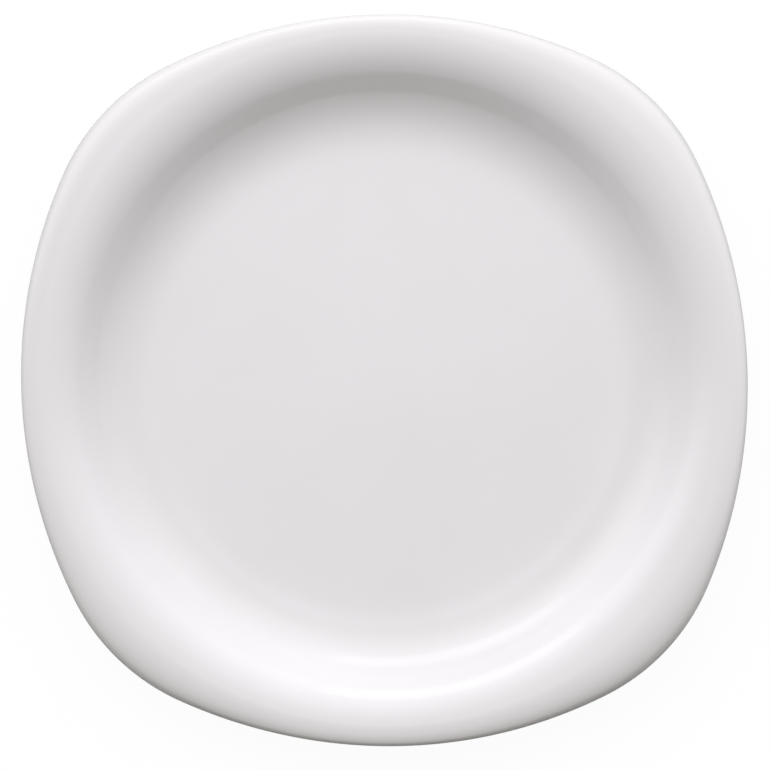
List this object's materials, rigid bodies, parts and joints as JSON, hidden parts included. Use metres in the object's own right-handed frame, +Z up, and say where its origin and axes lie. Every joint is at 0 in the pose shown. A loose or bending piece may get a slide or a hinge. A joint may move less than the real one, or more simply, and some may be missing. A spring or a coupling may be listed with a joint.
{
  "type": "dinner plate",
  "caption": "Rounded-square porcelain dinner plate with a round well, a wide rolled rim and a bare foot ring under a clear glossy glaze.",
  "frame": {"origin": "on the table, under the middle of the plate", "axes": "+Z up out of the well; X and Y run to the middles of the four sides"},
  "size_m": [0.27, 0.27, 0.025],
  "materials": {
    "biscuit": "matte",
    "glaze": "gloss"
  },
  "bodies": {
    "root": {"porcelain_body": "biscuit", "glaze": "glaze", "base_glaze": "glaze"}
  },
  "joints": []
}
